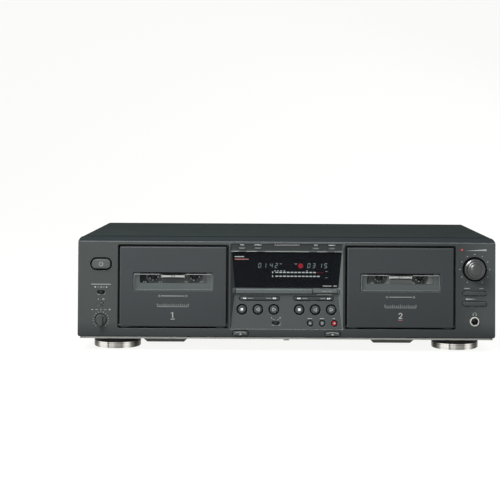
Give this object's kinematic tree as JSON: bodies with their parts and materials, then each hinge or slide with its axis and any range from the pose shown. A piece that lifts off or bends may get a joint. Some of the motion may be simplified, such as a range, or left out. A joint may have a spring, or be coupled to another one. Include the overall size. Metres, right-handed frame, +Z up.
{
  "type": "double cassette deck",
  "caption": "Full-width black hi-fi double cassette deck with hinged cassette doors, a sunken display with sloping keys between them, end controls and round feet.",
  "frame": {"origin": "on the table, under the middle of the whole object's box", "axes": "+X to the right seen from the front, +Y to the rear, +Z up"},
  "size_m": [0.43, 0.291, 0.1165],
  "materials": {
    "front_plastic": "satin moulded plastic",
    "control_plastic": "satin moulded plastic",
    "door_plastic": "satin moulded plastic",
    "holder_plastic": "satin moulded plastic",
    "smoked_window": "smoked clear plastic",
    "cover_paint": "fine textured paint",
    "chassis_steel": "galvanised sheet",
    "rear_paint": "satin paint",
    "foot_plastic": "plated ring on black plastic",
    "rear_foot_plastic": "moulded plastic",
    "transformer_iron": "varnished laminations",
    "board": "solder resist",
    "display_glass": "display tube",
    "frame_plastic": "moulded plastic",
    "motor_steel": "plated steel",
    "belt_rubber": "rubber",
    "socket_chrome": "bright plating",
    "jack_plastic": "plastic with plated sleeves",
    "inlet_plastic": "moulded plastic",
    "screw_steel": "blackened steel",
    "spindle_plastic": "white moulded plastic",
    "head_metal": "pressed metal",
    "key_plastic": "satin moulded plastic",
    "dark_key_plastic": "satin moulded plastic",
    "record_plastic": "red moulded plastic",
    "knob_plastic": "satin moulded plastic"
  },
  "bodies": {
    "cabinet": {"front_panel": "front_plastic", "control_panel": "control_plastic", "display_window": "smoked_window", "display_tube": "display_glass", "top_cover": "cover_paint", "bottom_chassis": "chassis_steel", "rear_panel": "rear_paint", "front_feet": "foot_plastic", "rear_feet": "rear_foot_plastic", "power_transformer": "transformer_iron", "circuit_boards": "board", "mechanism_frames": "frame_plastic", "capstan_motors": "motor_steel", "drive_belts": "belt_rubber", "phone_jack": "socket_chrome", "line_jacks": "jack_plastic", "power_inlet": "inlet_plastic", "screws": "screw_steel"},
    "door_a": {"door_a": "door_plastic", "door_window_a": "smoked_window", "cassette_holder_a": "holder_plastic"},
    "reel_spindle_a_left": {"reel_spindle_a_left": "spindle_plastic"},
    "capstan_a_left": {"capstan_a_left": "motor_steel"},
    "reel_spindle_a_right": {"reel_spindle_a_right": "spindle_plastic"},
    "capstan_a_right": {"capstan_a_right": "motor_steel"},
    "head_carriage_a": {"head_carriage_a": "head_metal"},
    "door_b": {"door_b": "door_plastic", "door_window_b": "smoked_window", "cassette_holder_b": "holder_plastic"},
    "reel_spindle_b_left": {"reel_spindle_b_left": "spindle_plastic"},
    "capstan_b_left": {"capstan_b_left": "motor_steel"},
    "reel_spindle_b_right": {"reel_spindle_b_right": "spindle_plastic"},
    "capstan_b_right": {"capstan_b_right": "motor_steel"},
    "head_carriage_b": {"head_carriage_b": "head_metal"},
    "power_key": {"power_key": "dark_key_plastic"},
    "timer_switch": {"timer_switch": "key_plastic"},
    "pitch_key": {"pitch_key": "dark_key_plastic"},
    "pitch_knob": {"pitch_knob": "knob_plastic"},
    "level_knob": {"level_knob": "knob_plastic"},
    "auto_level_key": {"auto_level_key": "dark_key_plastic"},
    "fade_key": {"fade_key": "dark_key_plastic"},
    "stop_key_a": {"stop_key_a": "key_plastic"},
    "stop_key_b": {"stop_key_b": "key_plastic"},
    "reverse_key_a": {"reverse_key_a": "key_plastic"},
    "reverse_key_b": {"reverse_key_b": "key_plastic"},
    "play_key_a": {"play_key_a": "key_plastic"},
    "play_key_b": {"play_key_b": "key_plastic"},
    "winding_rocker_a": {"winding_rocker_a": "key_plastic"},
    "winding_rocker_b": {"winding_rocker_b": "key_plastic"},
    "pause_key": {"pause_key": "key_plastic"},
    "mute_key": {"mute_key": "key_plastic"},
    "record_key": {"record_key": "record_plastic"},
    "dubbing_switch": {"dubbing_switch": "key_plastic"},
    "eject_key_a": {"eject_key_a": "dark_key_plastic"},
    "eject_key_b": {"eject_key_b": "dark_key_plastic"},
    "counter_key_1": {"counter_key_1": "dark_key_plastic"},
    "counter_key_2": {"counter_key_2": "dark_key_plastic"},
    "counter_key_3": {"counter_key_3": "dark_key_plastic"},
    "counter_key_4": {"counter_key_4": "dark_key_plastic"},
    "display_key": {"display_key": "key_plastic"}
  },
  "joints": [
    {"name": "door_a_hinge", "type": "hinge", "parent": "cabinet", "child": "door_a", "pos_m": [-0.1172, -0.1299, 0.026], "axis": [1, 0, 0], "range_deg": [0, 20]},
    {"name": "reel_spindle_a_left_spin", "type": "hinge", "parent": "cabinet", "child": "reel_spindle_a_left", "pos_m": [-0.13845, -0.1195, 0.0761], "axis": [0, 1, 0], "continuous": true},
    {"name": "capstan_a_left_spin", "type": "hinge", "parent": "cabinet", "child": "capstan_a_left", "pos_m": [-0.1482, -0.1095, 0.0478], "axis": [0, 1, 0], "continuous": true},
    {"name": "reel_spindle_a_right_spin", "type": "hinge", "parent": "cabinet", "child": "reel_spindle_a_right", "pos_m": [-0.09595, -0.1195, 0.0761], "axis": [0, 1, 0], "continuous": true},
    {"name": "capstan_a_right_spin", "type": "hinge", "parent": "cabinet", "child": "capstan_a_right", "pos_m": [-0.0862, -0.1095, 0.0478], "axis": [0, 1, 0], "continuous": true},
    {"name": "head_carriage_a_lift", "type": "slide", "parent": "cabinet", "child": "head_carriage_a", "axis": [0, 0, 1], "range_m": [0, 0.0055]},
    {"name": "door_b_hinge", "type": "hinge", "parent": "cabinet", "child": "door_b", "pos_m": [0.1172, -0.1299, 0.026], "axis": [1, 0, 0], "range_deg": [0, 20]},
    {"name": "reel_spindle_b_left_spin", "type": "hinge", "parent": "cabinet", "child": "reel_spindle_b_left", "pos_m": [0.09595, -0.1195, 0.0761], "axis": [0, 1, 0], "continuous": true},
    {"name": "capstan_b_left_spin", "type": "hinge", "parent": "cabinet", "child": "capstan_b_left", "pos_m": [0.0862, -0.1095, 0.0478], "axis": [0, 1, 0], "continuous": true},
    {"name": "reel_spindle_b_right_spin", "type": "hinge", "parent": "cabinet", "child": "reel_spindle_b_right", "pos_m": [0.13845, -0.1195, 0.0761], "axis": [0, 1, 0], "continuous": true},
    {"name": "capstan_b_right_spin", "type": "hinge", "parent": "cabinet", "child": "capstan_b_right", "pos_m": [0.1482, -0.1095, 0.0478], "axis": [0, 1, 0], "continuous": true},
    {"name": "head_carriage_b_lift", "type": "slide", "parent": "cabinet", "child": "head_carriage_b", "axis": [0, 0, 1], "range_m": [0, 0.0055]},
    {"name": "power_key_press", "type": "slide", "parent": "cabinet", "child": "power_key", "axis": [0, 1, 0], "range_m": [0, 0.0025], "stiffness_N_per_m": 300},
    {"name": "timer_switch_slide", "type": "slide", "parent": "cabinet", "child": "timer_switch", "axis": [1, 0, 0], "range_m": [-0.002, 0.002]},
    {"name": "pitch_key_press", "type": "slide", "parent": "cabinet", "child": "pitch_key", "axis": [0, 1, 0], "range_m": [0, 0.0015], "stiffness_N_per_m": 300},
    {"name": "pitch_knob_turn", "type": "hinge", "parent": "cabinet", "child": "pitch_knob", "pos_m": [-0.1912, -0.1345, 0.032], "axis": [0, 1, 0], "range_deg": [-140, 140]},
    {"name": "level_knob_turn", "type": "hinge", "parent": "cabinet", "child": "level_knob", "pos_m": [0.1937, -0.1345, 0.0855], "axis": [0, 1, 0], "range_deg": [-150, 150]},
    {"name": "auto_level_key_press", "type": "slide", "parent": "cabinet", "child": "auto_level_key", "axis": [0, 1, 0], "range_m": [0, 0.0015], "stiffness_N_per_m": 300},
    {"name": "fade_key_press", "type": "slide", "parent": "cabinet", "child": "fade_key", "axis": [0, 1, 0], "range_m": [0, 0.0015], "stiffness_N_per_m": 300},
    {"name": "stop_key_a_press", "type": "slide", "parent": "cabinet", "child": "stop_key_a", "axis": [0, 0.9914, -0.1305], "range_m": [0, 0.0015], "stiffness_N_per_m": 300},
    {"name": "stop_key_b_press", "type": "slide", "parent": "cabinet", "child": "stop_key_b", "axis": [0, 0.9914, -0.1305], "range_m": [0, 0.0015], "stiffness_N_per_m": 300},
    {"name": "reverse_key_a_press", "type": "slide", "parent": "cabinet", "child": "reverse_key_a", "axis": [0, 0.9914, -0.1305], "range_m": [0, 0.0015], "stiffness_N_per_m": 300},
    {"name": "reverse_key_b_press", "type": "slide", "parent": "cabinet", "child": "reverse_key_b", "axis": [0, 0.9914, -0.1305], "range_m": [0, 0.0015], "stiffness_N_per_m": 300},
    {"name": "play_key_a_press", "type": "slide", "parent": "cabinet", "child": "play_key_a", "axis": [0, 0.9914, -0.1305], "range_m": [0, 0.0015], "stiffness_N_per_m": 300},
    {"name": "play_key_b_press", "type": "slide", "parent": "cabinet", "child": "play_key_b", "axis": [0, 0.9914, -0.1305], "range_m": [0, 0.0015], "stiffness_N_per_m": 300},
    {"name": "winding_rocker_a_tilt", "type": "hinge", "parent": "cabinet", "child": "winding_rocker_a", "pos_m": [-0.028, -0.12573, 0.05359], "axis": [0, 0.1305, 0.9914], "range_deg": [-3, 3], "stiffness_Nm_per_rad": 0.3},
    {"name": "winding_rocker_b_tilt", "type": "hinge", "parent": "cabinet", "child": "winding_rocker_b", "pos_m": [0.028, -0.12573, 0.05359], "axis": [0, 0.1305, 0.9914], "range_deg": [-3, 3], "stiffness_Nm_per_rad": 0.3},
    {"name": "pause_key_press", "type": "slide", "parent": "cabinet", "child": "pause_key", "axis": [0, 0.9914, -0.1305], "range_m": [0, 0.0015], "stiffness_N_per_m": 300},
    {"name": "mute_key_press", "type": "slide", "parent": "cabinet", "child": "mute_key", "axis": [0, 0.9914, -0.1305], "range_m": [0, 0.0015], "stiffness_N_per_m": 300},
    {"name": "record_key_press", "type": "slide", "parent": "cabinet", "child": "record_key", "axis": [0, 0.9914, -0.1305], "range_m": [0, 0.0015], "stiffness_N_per_m": 300},
    {"name": "dubbing_switch_slide", "type": "slide", "parent": "cabinet", "child": "dubbing_switch", "axis": [1, 0, 0], "range_m": [-0.002, 0.002]},
    {"name": "eject_key_a_press", "type": "slide", "parent": "cabinet", "child": "eject_key_a", "axis": [0, 1, 0], "range_m": [0, 0.0022], "stiffness_N_per_m": 300},
    {"name": "eject_key_b_press", "type": "slide", "parent": "cabinet", "child": "eject_key_b", "axis": [0, 1, 0], "range_m": [0, 0.0022], "stiffness_N_per_m": 300},
    {"name": "counter_key_1_press", "type": "slide", "parent": "cabinet", "child": "counter_key_1", "axis": [0, 1, 0], "range_m": [0, 0.0015], "stiffness_N_per_m": 300},
    {"name": "counter_key_2_press", "type": "slide", "parent": "cabinet", "child": "counter_key_2", "axis": [0, 1, 0], "range_m": [0, 0.0015], "stiffness_N_per_m": 300},
    {"name": "counter_key_3_press", "type": "slide", "parent": "cabinet", "child": "counter_key_3", "axis": [0, 1, 0], "range_m": [0, 0.0015], "stiffness_N_per_m": 300},
    {"name": "counter_key_4_press", "type": "slide", "parent": "cabinet", "child": "counter_key_4", "axis": [0, 1, 0], "range_m": [0, 0.0015], "stiffness_N_per_m": 300},
    {"name": "display_key_press", "type": "slide", "parent": "cabinet", "child": "display_key", "axis": [0, 1, 0], "range_m": [0, 0.0015], "stiffness_N_per_m": 300}
  ],
  "couplings": [
    {"joint": "capstan_a_right_spin", "follows": "capstan_a_left_spin", "ratio": -1},
    {"joint": "capstan_b_right_spin", "follows": "capstan_b_left_spin", "ratio": -1}
  ]
}
